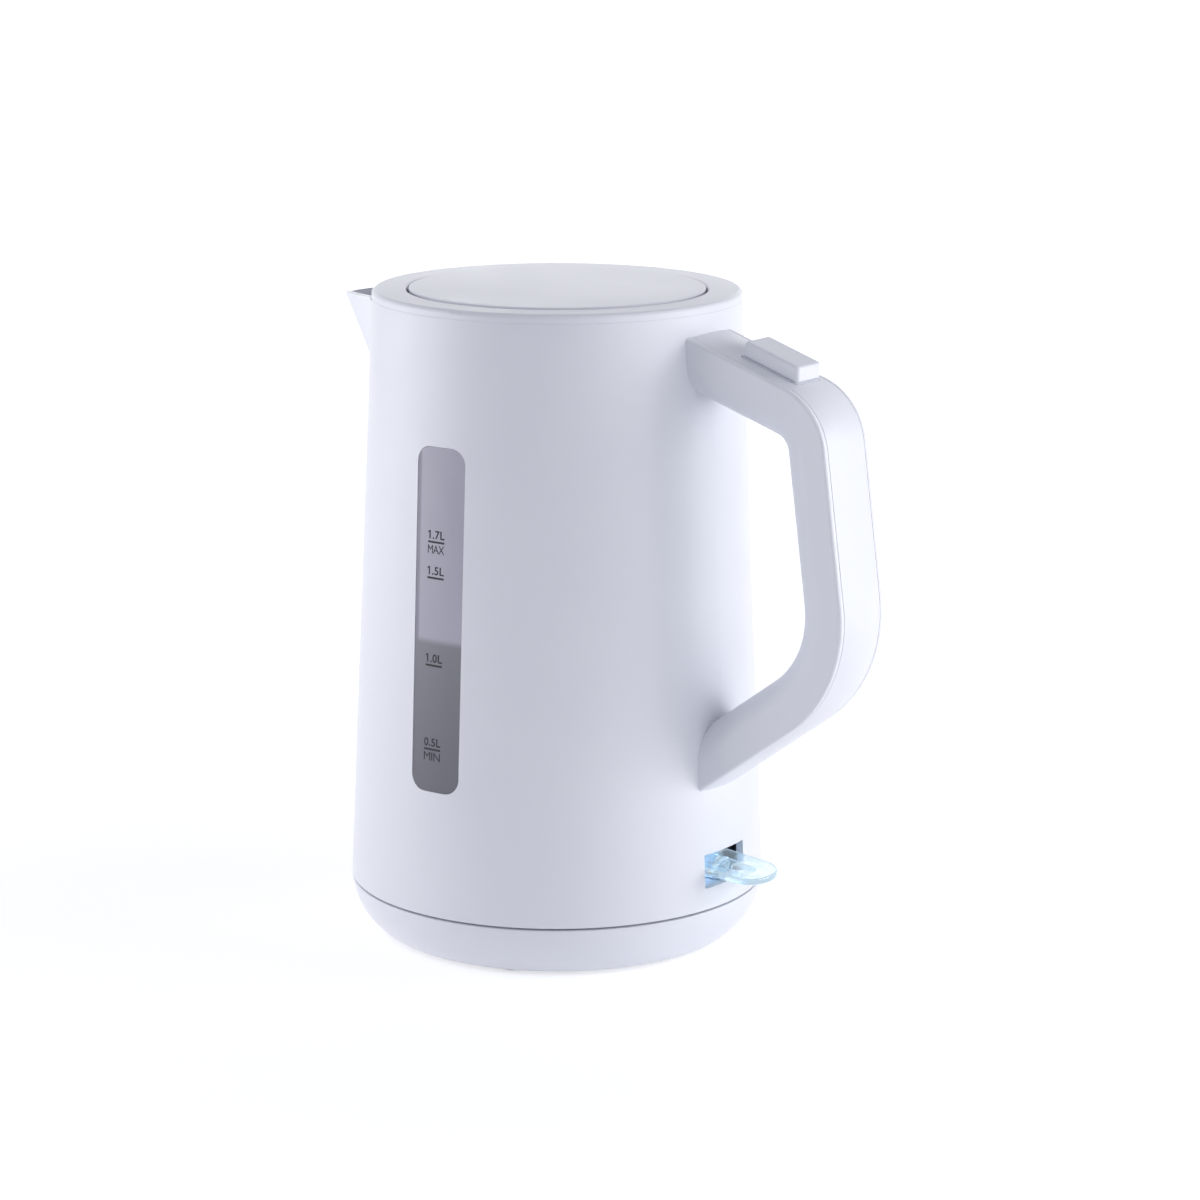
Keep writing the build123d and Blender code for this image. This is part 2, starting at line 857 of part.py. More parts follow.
def button_plan(n, grow=0.0, front_cut=0.0):
    """The button's rounded plan at a height on the upper arm, its front drawn back by a cut."""
    length = button_length + 2 * grow - front_cut
    face = RectangleRounded(length, button_width + 2 * grow, button_corner)
    return arm * Pos(button_place - front_cut / 2, 0, n) * face


def button_block(grow, low, high):
    """A straight block with the button's plan."""
    return extrude(button_plan(low, grow), high - low)


def make_handle_cover():
    """Crowned strip let into the outer side of the handle, with a shallow groove on each side."""
    seat = handle_width / 2 - cover_rim - fit_gap
    half = handle_width / 2 - cover_rim - cover_groove
    strip = make_face([
        Polyline(
            (half, 0),
            (half, -groove_depth),
            (seat, -groove_depth),
            (seat, -cover_thickness),
            (-seat, -cover_thickness),
            (-seat, -groove_depth),
            (-half, -groove_depth),
            (-half, 0),
        ),
        ThreePointArc((-half, 0), (0, cover_crown), (half, 0)),
    ])
    cover = along_handle(strip) - body_solid
    return cover - button_block(button_gap, -handle_depth, button_top)


ramp = latch_travel / button_travel
stem_low = -latch_depth - stem_drop


def make_release_button():
    """Raised button with a flange under the cover and a wedge-shaped stem."""
    front_cut = button_proud * math.tan(math.radians(button_lean))
    head = loft([button_plan(cover_crown), button_plan(button_top, front_cut=front_cut)])
    crown = head.faces().sort_by(Axis.Z)[-1]
    head = fillet(crown.edges(), button_edge)
    flange_low = button_bottom - button_flange_thickness
    head += button_block(0, button_bottom, cover_crown)
    flange = button_block(button_flange, flange_low, button_bottom)
    tip = stem_place + stem_tip
    outline = Polyline(
        (stem_place, flange_low),
        (stem_place, stem_low),
        (tip, stem_low),
        (tip + (flange_low - stem_low) * ramp, flange_low),
        close=True,
    )
    side_plane = Plane(arm.origin, x_dir=arm.x_dir, z_dir=-arm.y_dir)
    stem = extrude(side_plane * make_face(outline), stem_width / 2, both=True)
    return head + flange + stem


def make_latch_bolt():
    """Sliding bolt with a sloped window that the stem pushes back."""
    bolt = on_arm(
        (latch_nose, -latch_width / 2, latch_low), (latch_tail, latch_width / 2, -latch_depth)
    )
    top_front = bolt.edges().filter_by(Axis.Y).sort_by(Axis.X)[:2].sort_by(Axis.Z)[-1]
    bolt = chamfer(top_front, latch_thickness / 2)
    free_side = stem_place - latch_travel - move_gap
    push_low = stem_place + stem_tip + (latch_low - stem_low) * ramp + move_gap
    push_high = push_low + latch_thickness * ramp
    outline = Polyline(
        (free_side, latch_low),
        (push_low, latch_low),
        (push_high, -latch_depth),
        (free_side, -latch_depth),
        close=True,
    )
    side_plane = Plane(arm.origin, x_dir=arm.x_dir, z_dir=-arm.y_dir)
    window = extrude(side_plane * make_face(outline), stem_width / 2 + move_gap, both=True)
    return bolt - window


def make_latch_spring():
    """Compression spring between the bolt's tail and the handle's stop."""
    length = spring_room - 2 * spring_wire
    coil = Helix(length / spring_turns, length, spring_radius)
    section = Plane(coil @ 0, z_dir=coil % 0) * RegularPolygon(spring_wire / 2, 6)
    wire = sweep(section, coil, is_frenet=True)
    middle = -latch_depth - latch_thickness / 2
    return arm * Pos(latch_tail + spring_wire, 0, middle) * Rot(0, 90, 0) * wire


# Collar and lid
def hinge_rod(radius, y_low, y_high):
    """A rod on the hinge axis, on the +Y side."""
    return Plane((hinge_x, y_low, z_hinge), z_dir=(0, 1, 0)) * Cylinder(
        radius, y_high - y_low, align=(Align.CENTER, Align.CENTER, Align.MIN)
    )


y_lid_side = math.sqrt(lid_radius**2 - hinge_x**2)
y_collar_side = math.sqrt(collar_bore**2 - hinge_x**2)


def both_sides(shape):
    """A shape and its mirror image across the kettle's middle."""
    return shape + mirror(shape, Plane.XZ)


def make_top_collar():
    """Ring round the lid: rounded outer edge, inner skirt, spigot into the body."""
    spigot_outer = body_radius(z_part) - wall - fit_gap
    spigot_inner = spigot_outer - collar_wall
    z_under = z_top - collar_plate
    outline = Polyline(
        (body_radius(z_part), z_part),
        (top_radius, z_top),
        (collar_bore, z_top),
        (collar_bore, z_top - collar_skirt),
        (collar_bore + collar_wall, z_top - collar_skirt),
        (collar_bore + collar_wall, z_under),
        (spigot_inner, z_under),
        (spigot_inner, z_part - spigot_drop),
        (spigot_outer, z_part - spigot_drop),
        (spigot_outer, z_part),
        close=True,
    )
    face = make_face(outline)
    corners = face.vertices().sort_by(Axis.Y)[-2:].sort_by(Axis.X)
    face = fillet(corners[1], collar_edge)
    lip = face.vertices().sort_by_distance((collar_bore, z_top))[0]
    face = fillet(lip, collar_lip_edge)
    groove = face.vertices().sort_by_distance((body_radius(z_part), z_part))[0]
    face = chamfer(groove, parting_groove)
    collar = revolve(Plane.XZ * face, Axis.Z)
    collar -= spout_channel
    z_rest = z_lid_under - lid_rest_thickness
    rest = ring(collar_bore + collar_wall / 2, collar_bore - lid_rest_width, z_rest, z_lid_under)
    collar += rest & sector(lid_rest_half_angle, 180, z_rest, z_lid_under)
    hole_end = y_collar_side + hinge_pin_reach + run_gap
    return collar - both_sides(hinge_rod(hinge_pin_radius + run_gap, 0, hole_end))


def make_lid_top():
    """Lid skin: slightly dished face, rounded edge, drawn-in skirt, holes for the hinge pins."""
    skirt_radius = lid_radius - lid_draft
    skirt_bore = skirt_radius - lid_wall
    z_edge = z_lid_top - lid_edge
    flat = lid_radius - lid_edge
    corner = math.sqrt(0.5) * lid_edge
    skin = turned([
        Line((0, z_lid_top - lid_dish - lid_plate), (0, z_lid_top - lid_dish)),
        TangentArc((0, z_lid_top - lid_dish), (flat, z_lid_top), tangent=(1, 0, 0)),
        ThreePointArc((flat, z_lid_top), (flat + corner, z_edge + corner), (lid_radius, z_edge)),
        Polyline(
            (lid_radius, z_edge),
            (skirt_radius, z_lid_under),
            (skirt_bore, z_lid_under),
            (skirt_bore, z_lid_top - lid_dish - lid_plate),
            (0, z_lid_top - lid_dish - lid_plate),
        ),
    ])
    return skin - both_sides(hinge_rod(hinge_pin_radius, y_lid_side - hinge_pin_grip, lid_radius))


def make_lid_inner():
    """Tray under the lid, with the catch and heel at the back."""
    radius = lid_radius - lid_draft - lid_wall - fit_gap
    tray = drum(radius, z_lid_under, z_lid_under + lid_tray)
    z_heel = z_top - catch_drop
    x_catch = radius - lid_wall
    catch = slab(
        (x_catch - catch_thickness, -catch_width / 2, z_heel),
        (x_catch, catch_width / 2, z_lid_under),
    )
    heel = slab(
        (x_catch - catch_thickness, -catch_width / 2, z_heel),
        (heel_x, catch_width / 2, z_heel + heel_thickness),
    )
    return tray + catch + heel


def make_lid_hinge_pins():
    """Two short pins, fast in the lid and free in the collar."""
    pin = hinge_rod(
        hinge_pin_radius, y_lid_side - hinge_pin_grip, y_collar_side + hinge_pin_reach
    )
    return group([pin, mirror(pin, Plane.XZ)])


def make_lid_spring():
    """Bent leaf that pushes the heel down and so throws the lid open."""
    x_leg = collar_bore + collar_wall + leaf_thickness
    z_heel_top = z_top - catch_drop + heel_thickness
    z_under = z_top - collar_plate
    x_toe = heel_x - leaf_toe
    z_bend = z_top - collar_skirt - leaf_thickness
    outline = Polyline(
        (x_leg, z_under),
        (x_leg, z_bend),
        (x_toe, z_heel_top + fit_gap + leaf_thickness),
        (x_toe, z_heel_top + fit_gap),
        (x_leg + leaf_thickness, z_bend - leaf_thickness),
        (x_leg + leaf_thickness, z_under),
        close=True,
    )
    return extrude(Plane.XZ * make_face(outline), leaf_width / 2, both=True)


# Spout filter
z_filter_low = z_part - filter_foot
z_filter_top = z_lid_under - lid_rest_thickness - move_gap
filter_inset = wall + move_gap


def filter_layer(outer, inner, border):
    """A layer of the filter that follows the wall, drawn in from its edges."""
    layer = taper(z_filter_low + border, z_filter_top - border, outer)
    layer -= taper(z_filter_low + border, z_filter_top - border, inner)
    margin = math.degrees(border / body_radius(z_filter_top))
    return layer & sector(filter_half_angle - margin, 180, z_filter_low, z_filter_top)


mesh_outer = filter_inset + (filter_thickness - mesh_thickness) / 2
mesh_inner = mesh_outer + mesh_thickness


def make_filter_frame():
    """Curved frame behind the spout, with upright bars."""
    inner = filter_inset + filter_thickness
    frame = filter_layer(filter_inset, inner, 0)
    opening = filter_layer(filter_inset - 1, inner + 1, filter_border)
    for bar in range(filter_ribs):
        turn = filter_half_angle * (2 * (bar + 1) / (filter_ribs + 1) - 1)
        blade = slab(
            (-2 * seam_radius, -filter_rib_width / 2, z_filter_low), (0, filter_rib_width / 2, z_filter_top)
        )
        opening -= Rot(0, 0, turn) * blade
    frame -= opening
    return frame - filter_layer(mesh_outer, mesh_inner, filter_border - mesh_grip)


def make_filter_mesh():
    """Fine mesh held in the frame's groove."""
    return filter_layer(mesh_outer, mesh_inner, filter_border - mesh_grip)


save("base_shell", make_base_shell())
save("base_bottom", make_base_bottom())
save("base_feet", make_base_feet())
save("base_screws", make_base_screws())
save("base_socket", make_base_socket())
save("cord_inlet", make_cord_inlet())
save("jug_connector", make_jug_connector())
save("jug_bottom", make_jug_bottom())
save("bottom_screws", make_bottom_screws())
save("body_shell", make_body_shell())
save("water_window", make_water_window())
save("window_gasket", make_window_gasket())
save("plate_gasket", make_plate_gasket())
save("heater_plate", make_heater_plate())
save("heating_element", make_heating_element())
save("control_housing", make_control_housing())
save("bimetal_disc", make_bimetal_disc())
save("indicator_lamp", make_indicator_lamp())
save("switch_pin", make_switch_pin())
save("switch_lever", make_switch_lever())
save("steam_tube", make_steam_tube())
save("handle_shell", make_handle_shell())
save("handle_cover", make_handle_cover())
save("release_button", make_release_button())
save("latch_bolt", make_latch_bolt())
save("latch_spring", make_latch_spring())
save("top_collar", make_top_collar())
save("lid_top", make_lid_top())
save("lid_inner", make_lid_inner())
save("lid_hinge_pins", make_lid_hinge_pins())
save("lid_spring", make_lid_spring())
save("filter_frame", make_filter_frame())
save("filter_mesh", make_filter_mesh())
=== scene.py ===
import json
import math

import bpy
from mathutils import Euler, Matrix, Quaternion, Vector


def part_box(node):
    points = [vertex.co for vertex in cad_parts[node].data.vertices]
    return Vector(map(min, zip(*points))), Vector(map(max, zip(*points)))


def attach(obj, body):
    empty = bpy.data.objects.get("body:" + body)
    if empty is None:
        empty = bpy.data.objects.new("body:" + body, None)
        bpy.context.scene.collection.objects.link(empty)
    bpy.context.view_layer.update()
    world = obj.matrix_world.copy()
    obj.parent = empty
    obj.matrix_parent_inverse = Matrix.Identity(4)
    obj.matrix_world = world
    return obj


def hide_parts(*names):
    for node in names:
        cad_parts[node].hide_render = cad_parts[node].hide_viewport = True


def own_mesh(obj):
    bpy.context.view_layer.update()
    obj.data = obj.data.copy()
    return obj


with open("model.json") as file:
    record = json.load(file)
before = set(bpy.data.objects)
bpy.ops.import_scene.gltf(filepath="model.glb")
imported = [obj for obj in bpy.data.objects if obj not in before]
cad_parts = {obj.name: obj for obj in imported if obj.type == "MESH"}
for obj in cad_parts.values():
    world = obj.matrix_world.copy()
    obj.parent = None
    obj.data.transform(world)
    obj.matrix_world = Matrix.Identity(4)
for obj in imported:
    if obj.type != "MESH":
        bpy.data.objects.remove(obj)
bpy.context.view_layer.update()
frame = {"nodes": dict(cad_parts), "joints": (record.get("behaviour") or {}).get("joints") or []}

# Feet of the power base
# Three soft pads, punched from thermoplastic rubber sheet and pressed into pockets of the bottom plate.
# They keep the base from sliding, and show as short dark dashes under the bowl.
MM = 0.001
# Blender's noise mostly keeps between these two values.
noise_low = 0.3
noise_high = 0.7


def linear(hex_colour):
    """An sRGB hex colour as linear red, green and blue, with full alpha."""
    channels = [int(hex_colour[i:i + 2], 16) / 255 for i in (1, 3, 5)]
    return [c / 12.92 if c <= 0.04045 else ((c + 0.055) / 1.055) ** 2.4 for c in channels] + [1.0]


def add(tree, kind, given):
    """Adds one shader node. A given name is an input, which takes a link or a value, or else a setting."""
    made = tree.nodes.new(kind)
    for name, value in given.items():
        if isinstance(value, bpy.types.NodeSocket):
            tree.links.new(value, made.inputs[name])
        elif isinstance(name, int) or name in made.inputs:
            made.inputs[name].default_value = value
        else:
            setattr(made, name, value)
    return made


def start_material(name, given):
    """A new material whose shader has the given values.
    Returns it, its node tree, its shader and the place on the piece in metres."""
    material = bpy.data.materials.new(name)
    material.use_nodes = True
    tree = material.node_tree
    shader = tree.nodes["Principled BSDF"]
    for socket, value in given.items():
        shader.inputs[socket].default_value = value
    place = add(tree, "ShaderNodeTexCoord", {}).outputs["Object"]
    return material, tree, shader, place


def surface(tree, shader, place, tones, grain, relief, patch, dull):
    """Gives a shader a grain of that width and relief, and patches of two tones and of a span of roughness.
    Returns the patches' colour and the grain's normal, for what a section lays over them."""
    cloud = add(tree, "ShaderNodeTexNoise", {"Vector": place, "Scale": 1 / patch, "Detail": 3})
    patches = add(tree, "ShaderNodeMix", {"data_type": "RGBA", 0: cloud.outputs["Fac"],
                                          6: linear(tones[0]), 7: linear(tones[1])})
    tree.links.new(patches.outputs[2], shader.inputs["Base Color"])
    dullness = add(tree, "ShaderNodeMapRange", {"Value": cloud.outputs["Fac"],
                                                "From Min": noise_low, "From Max": noise_high,
                                                "To Min": dull[0], "To Max": dull[1]})
    tree.links.new(dullness.outputs["Result"], shader.inputs["Roughness"])
    grit = add(tree, "ShaderNodeTexNoise", {"Vector": place, "Scale": 1 / grain, "Detail": 2})
    bumps = add(tree, "ShaderNodeBump", {"Height": grit.outputs["Fac"], "Distance": relief, "Strength": 1.0})
    tree.links.new(bumps.outputs["Normal"], shader.inputs["Normal"])
    return patches.outputs[2], bumps.outputs["Normal"]


def dress(material, *names):
    """Puts a material on CAD nodes."""
    for name in names:
        frame["nodes"][name].material_slots[0].material = material


# Thermoplastic rubber: dull mid grey, with the fine pebble of the sheet it was punched from.
foot_rubber, tree, shader, place = start_material("thermoplastic_rubber_grey",
                                                  {"IOR": 1.5, "Specular IOR Level": 0.35})
surface(tree, shader, place, tones=("#8C8D93", "#7C7D84"), grain=0.7 * MM, relief=0.03 * MM,
        patch=6 * MM, dull=(0.72, 0.85))
dress(foot_rubber, "base_feet")

# Power base
# A bowl and its bottom plate, both injection moulded in white polypropylene and screwed together from below.
# The tool was spark eroded, so the skin is satin and hides finger marks.

# Polypropylene from a spark-eroded tool: cool white, a soft broad sheen and a grain of about a third of a
# millimetre, drawn here three times as coarse so that it survives at the size of the picture.
white_polypropylene, tree, shader, place = start_material("satin_white_polypropylene", {"IOR": 1.49})
surface(tree, shader, place, tones=("#E9EBF2", "#E5E7EF"), grain=1.0 * MM, relief=0.006 * MM,
        patch=45 * MM, dull=(0.40, 0.47))
dress(white_polypropylene, "base_shell", "base_bottom")

# Screws
# Pan-head thread-forming screws, cold headed in steel and zinc plated. Three hold the plate under the base
# and three the cover under the jug.

# Zinc-plated steel: bluish bright metal, a little cloudy where the plating is thin.
zinc_steel, tree, shader, place = start_material("zinc_plated_steel", {"Metallic": 1.0})
surface(tree, shader, place, tones=("#C9CDD4", "#AEB3BC"), grain=0.3 * MM, relief=0.004 * MM,
        patch=2.5 * MM, dull=(0.24, 0.38))
dress(zinc_steel, "base_screws", "bottom_screws")

# Cordless connector, gland and control
# The socket in the hub, the plug under the jug, the inlet of the base and the control body are moulded in
# glass-filled nylon, which takes the heat of the contacts.

# Glass-filled nylon: mid grey, half dull, with a faint mottle where the fibres come to the skin.
grey_nylon, tree, shader, place = start_material("glass_filled_nylon_grey", {"IOR": 1.53})
surface(tree, shader, place, tones=("#6E7178", "#5F6269"), grain=0.5 * MM, relief=0.012 * MM,
        patch=3 * MM, dull=(0.48, 0.6))
dress(grey_nylon, "base_socket", "cord_inlet", "jug_connector")

# Natural nylon for the control body: the same moulding without the pigment, pale and a little milky.
natural_nylon, tree, shader, place = start_material("glass_filled_nylon_natural", {"IOR": 1.53})
surface(tree, shader, place, tones=("#CCCFD5", "#C0C3CA"), grain=0.5 * MM, relief=0.012 * MM,
        patch=3 * MM, dull=(0.48, 0.6))
dress(natural_nylon, "control_housing")

# Heater
# A pressed stainless floor, a sheathed ring element brazed under it, and a snap disc that feels the steam.
# The plate is brushed while it turns, so its lines run in rings.
ring_spacing = 1.4 * MM
ring_relief = 0.02 * MM
# At scale 1, Blender's wave texture repeats at this length.
wave_length = math.pi / 10

# Brushed stainless steel: warm-neutral metal whose gleam is drawn out across fine rings. The real ones are a
# tenth of a millimetre apart, and are drawn coarser here so that they show.
brushed_steel, tree, shader, place = start_material("brushed_stainless_steel", {"Metallic": 1.0})
_, skin = surface(tree, shader, place, tones=("#CFCFD0", "#BDBEC1"), grain=0.5 * MM, relief=0.004 * MM,
                  patch=8 * MM, dull=(0.22, 0.34))
rings = add(tree, "ShaderNodeTexWave", {"wave_type": "RINGS", "rings_direction": "Z", "Vector": place,
                                        "Scale": wave_length / ring_spacing, "Distortion": 1.5, "Detail": 2})
brushed = add(tree, "ShaderNodeBump", {"Height": rings.outputs["Fac"], "Distance": ring_relief,
                                       "Normal": skin})
tree.links.new(brushed.outputs["Normal"], shader.inputs["Normal"])
dress(brushed_steel, "heater_plate")

# Rolled bimetal strip, stamped into a disc: bright metal, faintly straw-coloured from its heat treatment.
bimetal, tree, shader, place = start_material("rolled_bimetal_strip", {"Metallic": 1.0})
surface(tree, shader, place, tones=("#C9C2B0", "#B3AC9C"), grain=0.4 * MM, relief=0.003 * MM,
        patch=3 * MM, dull=(0.25, 0.36))
dress(bimetal, "bimetal_disc")

# Extruded aluminium sheath, darkened by brazing: dull grey metal with lighter patches.
sheath, tree, shader, place = start_material("brazed_aluminium_sheath", {"Metallic": 1.0})
surface(tree, shader, place, tones=("#A6A6A8", "#85868A"), grain=0.6 * MM, relief=0.02 * MM,
        patch=5 * MM, dull=(0.42, 0.6))
dress(sheath, "heating_element")

# Seals
# Two rings moulded in silicone, one clamped between the steel floor and its ledge, the other between the wall
# and the lip of the water window. They keep the water in the jug.

# Moulded silicone: pale grey, soft and slightly tacky in its sheen.
silicone, tree, shader, place = start_material("moulded_silicone_grey",
                                               {"IOR": 1.41, "Specular IOR Level": 0.4})
surface(tree, shader, place, tones=("#9A9BA1", "#8C8D94"), grain=0.6 * MM, relief=0.01 * MM,
        patch=6 * MM, dull=(0.5, 0.62))
dress(silicone, "plate_gasket", "window_gasket")

# Jug, handle and lid
# The body with its beak, the bottom cover, the collar, the two halves of the handle, the lid and its tray are
# injection moulded in the same white polypropylene as the base. So are the button, the lid's bolt and the
# frame of the filter.
dress(white_polypropylene, "body_shell", "jug_bottom", "top_collar", "handle_shell", "handle_cover",
      "release_button", "lid_top", "lid_inner", "latch_bolt", "filter_frame")

# Steam tube
# A length of extruded silicone hose, pushed through a hole in the ledge round the floor. It stands along the
# inside of the wall and leads steam down to the control.

# Extruded silicone: milky white and slightly waxy, with faint flow marks.
hose, tree, shader, place = start_material("extruded_silicone_white", {"IOR": 1.41})
surface(tree, shader, place, tones=("#DEDFE2", "#D2D3D8"), grain=0.8 * MM, relief=0.01 * MM,
        patch=9 * MM, dull=(0.4, 0.55))
dress(hose, "steam_tube")

# Pins and lid spring
# Drawn pins on which the lid and the switch turn, pressed into the lid and into the ears of the control.
# A leaf, stamped from strip and bent, pushes down the heel of the lid and so throws the lid open.

# Drawn stainless spring steel: bright and smooth, with a slight grey bloom left by the die.
spring_steel, tree, shader, place = start_material("drawn_spring_steel", {"Metallic": 1.0})
surface(tree, shader, place, tones=("#D2D3D6", "#B9BBC0"), grain=0.25 * MM, relief=0.003 * MM,
        patch=1.5 * MM, dull=(0.16, 0.28))
dress(spring_steel, "switch_pin", "lid_hinge_pins", "lid_spring", "latch_spring")

# Bolt spring
# A compression spring wound from stainless wire, held between the tail of the lid's bolt and a stop in the
# handle. On the kettle it shortens as the button draws the bolt back; here it is drawn at one length and
# rides with the jug.
spring_low, spring_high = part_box("latch_spring")
spring_middle = (spring_low + spring_high) / 2
bolt_slide = next(joint for joint in frame["joints"] if joint["name"] == "latch_slide")
bolt_way = Vector(bolt_slide["axis"])
wire_thickness = 0.6 * MM
wire_sides = 10
coil_radius = 1.8 * MM
coil_turns = 5
coil_steps = 20
coil_length = 7.8 * MM
smooth_angle = math.radians(40)
bpy.ops.object.select_all(action="DESELECT")
bpy.ops.mesh.primitive_circle_add(vertices=wire_sides, radius=wire_thickness / 2,
                                  location=(coil_radius, 0, -coil_length / 2), rotation=(math.pi / 2, 0, 0))
bolt_spring = bpy.context.object
bolt_spring.name = "bolt_spring"
bpy.ops.object.transform_apply(location=True, rotation=True, scale=True)
coil = bolt_spring.modifiers.new("coil", "SCREW")
coil.iterations = coil_turns
coil.screw_offset = coil_length / coil_turns
coil.steps = coil_steps
coil.render_steps = coil_steps
bpy.ops.object.modifier_apply(modifier="coil")
bpy.ops.object.mode_set(mode="EDIT")
bpy.ops.mesh.select_all(action="SELECT")
bpy.ops.mesh.fill_holes(sides=0)
bpy.ops.mesh.normals_make_consistent(inside=False)
bpy.ops.object.mode_set(mode="OBJECT")
bolt_spring.rotation_euler = bolt_way.to_track_quat("Z", "Y").to_euler()
bolt_spring.location = spring_middle
bpy.ops.object.transform_apply(location=True, rotation=True, scale=True)
bpy.ops.object.shade_smooth_by_angle(angle=smooth_angle)
bolt_spring.data.materials.append(spring_steel)
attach(bolt_spring, "jug")
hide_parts("latch_spring")
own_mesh(bolt_spring)

# Spout filter
# Stainless gauze, held in a moulded frame that draws inwards out of its guides behind the beak.
# It keeps scale out of the cup.
wire_spacing = 0.9 * MM
wire_relief = 0.15 * MM

# Plain-woven stainless gauze: a fine grid of bright round wires, with the gaps between them painted dark as
# painted shade of the jug's inside seen through them. The real wires are a quarter of a millimetre apart, and
# are drawn coarser here so that they show.
gauze, tree, shader, place = start_material("woven_stainless_gauze", {"Metallic": 1.0})
metal, skin = surface(tree, shader, place, tones=("#CDCED1", "#B6B8BC"), grain=0.3 * MM, relief=0.003 * MM,
                      patch=4 * MM, dull=(0.26, 0.38))
upright = add(tree, "ShaderNodeTexWave", {"bands_direction": "Y", "Vector": place,
                                          "Scale": wave_length / wire_spacing})
level = add(tree, "ShaderNodeTexWave", {"bands_direction": "Z", "Vector": place,
                                        "Scale": wave_length / wire_spacing})
wires = add(tree, "ShaderNodeMath", {"operation": "MAXIMUM",
                                     0: upright.outputs["Fac"], 1: level.outputs["Fac"]})
# The gaps are painted dark: painted shade where the holes would show the inside of the jug.
gap_shade_mask = add(tree, "ShaderNodeMapRange", {"Value": wires.outputs[0], "From Min": 0.3, "From Max": 0.6})
woven = add(tree, "ShaderNodeMix", {"data_type": "RGBA", 0: gap_shade_mask.outputs["Result"],
                                    6: linear("#3C3D41"), 7: metal})
tree.links.new(woven.outputs[2], shader.inputs["Base Color"])
raised = add(tree, "ShaderNodeBump", {"Height": wires.outputs[0], "Distance": wire_relief, "Normal": skin})
tree.links.new(raised.outputs["Normal"], shader.inputs["Normal"])
dress(gauze, "filter_mesh")

# Water window
# A smoky pane moulded in styrene acrylonitrile, clipped behind the wall so that its face lies in the slot.
# Its lower part is painted darker, as painted shade of the inside of the jug seen through it.
pane = frame["nodes"]["water_window"]
pane_low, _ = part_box("water_window")
pane_lip = 4.0 * MM
inner_shade_edge = 124.2 * MM
inner_shade_blur = 1.6 * MM
slot_shade_width = 1.2 * MM
slot_shade_blur = 1.2 * MM
slot_shade_start = pane_low.x + pane_lip + slot_shade_width
slot_shade_end = slot_shade_start + slot_shade_blur

# Smoky styrene acrylonitrile: violet-grey with a soft gloss and a faint cloud. Over it lies painted shade of
# the jug's inside, with a clear step and darker towards the bottom, and a painted shade line along the left
# edge where the slot would show through.
smoky_pane, tree, shader, place = start_material("smoky_styrene_acrylonitrile",
                                                 {"IOR": 1.57, "Specular IOR Level": 0.2})
cloudy, _ = surface(tree, shader, place, tones=("#B4B2C0", "#AEACBA"), grain=1.2 * MM, relief=0.002 * MM,
                    patch=12 * MM, dull=(0.30, 0.38))
axes = add(tree, "ShaderNodeSeparateXYZ", {"Vector": place})
# Painted shade of the jug's inside: below this edge the pane is darker, and darker still towards the bottom.
above_inner_shade = add(tree, "ShaderNodeMapRange", {"interpolation_type": "SMOOTHSTEP", "Value": axes.outputs["Z"],
                                         "From Min": inner_shade_edge - inner_shade_blur,
                                         "From Max": inner_shade_edge + inner_shade_blur})
inner_shade_fall = add(tree, "ShaderNodeMapRange", {"Value": axes.outputs["Z"],
                                        "From Min": pane_low.z, "From Max": inner_shade_edge})
painted_inner_shade = add(tree, "ShaderNodeMix", {"data_type": "RGBA", 0: inner_shade_fall.outputs["Result"],
                                         6: linear("#72737B"), 7: linear("#86878F")})
# Painted shade of the slot's edge: a darker line along the left side of the pane.
slot_shade_mask = add(tree, "ShaderNodeMapRange", {"interpolation_type": "SMOOTHSTEP", "Value": axes.outputs["X"],
                                         "From Min": slot_shade_start, "From Max": slot_shade_end})
upper_with_slot_shade = add(tree, "ShaderNodeMix", {"data_type": "RGBA", 0: slot_shade_mask.outputs["Result"],
                                         6: linear("#918F9D"), 7: cloudy})
tone = add(tree, "ShaderNodeMix", {"data_type": "RGBA", 0: above_inner_shade.outputs["Result"],
                                   6: painted_inner_shade.outputs[2], 7: upper_with_slot_shade.outputs[2]})
tree.links.new(tone.outputs[2], shader.inputs["Base Color"])
dress(smoky_pane, "water_window")

# Level marks
# Capacity figures, lines and words, pad printed in dark grey ink on the face of the pane. Each mark has the
# thickness of a film of ink.
mark_side = -1.3 * MM
mark_width = 7.5 * MM
stand_off = 5 * MM
mark_start = pane_low.y - stand_off
letter_height = 3.05 * MM
figure_spacing = 1.05
word_spacing = 0.92
figure_rise = 2.65 * MM
word_drop = 2.65 * MM
line_height = 0.75 * MM
line_cuts = 7
figure_gain = 0.05 * MM
flag_reach = 0.42 * MM
flag_height = 0.38 * MM
flag_drop = 0.32 * MM
ink_film = 0.05 * MM
ink_lift = 0.02 * MM
level_marks = (
    ("1.7L", 160.6 * MM, "MAX"),
    ("1.5L", 147.45 * MM, ""),
    ("1.0L", 115.25 * MM, ""),
    ("0.5L", 84.1 * MM, "MIN"),
)

# Pad-printing ink: nearly black, dull, a little thinner in places.
ink, tree, shader, place = start_material("pad_print_ink", {"IOR": 1.5, "Specular IOR Level": 0.3})
surface(tree, shader, place, tones=("#2E2F34", "#393A40"), grain=0.3 * MM, relief=0.002 * MM,
        patch=1.2 * MM, dull=(0.55, 0.7))


def lay_on_pane(piece):
    """Presses a flat mark on to the face of the pane and gives it the thickness of ink."""
    wrap = piece.modifiers.new("lie", "SHRINKWRAP")
    wrap.target = pane
    wrap.wrap_method = "PROJECT"
    wrap.use_project_y = True
    wrap.offset = ink_lift
    film = piece.modifiers.new("film", "SOLIDIFY")
    film.thickness = ink_film
    film.offset = 0
    for modifier in ("lie", "film"):
        bpy.ops.object.modifier_apply(modifier=modifier)
    piece.data.materials.clear()
    piece.data.materials.append(ink)
    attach(piece, "jug")


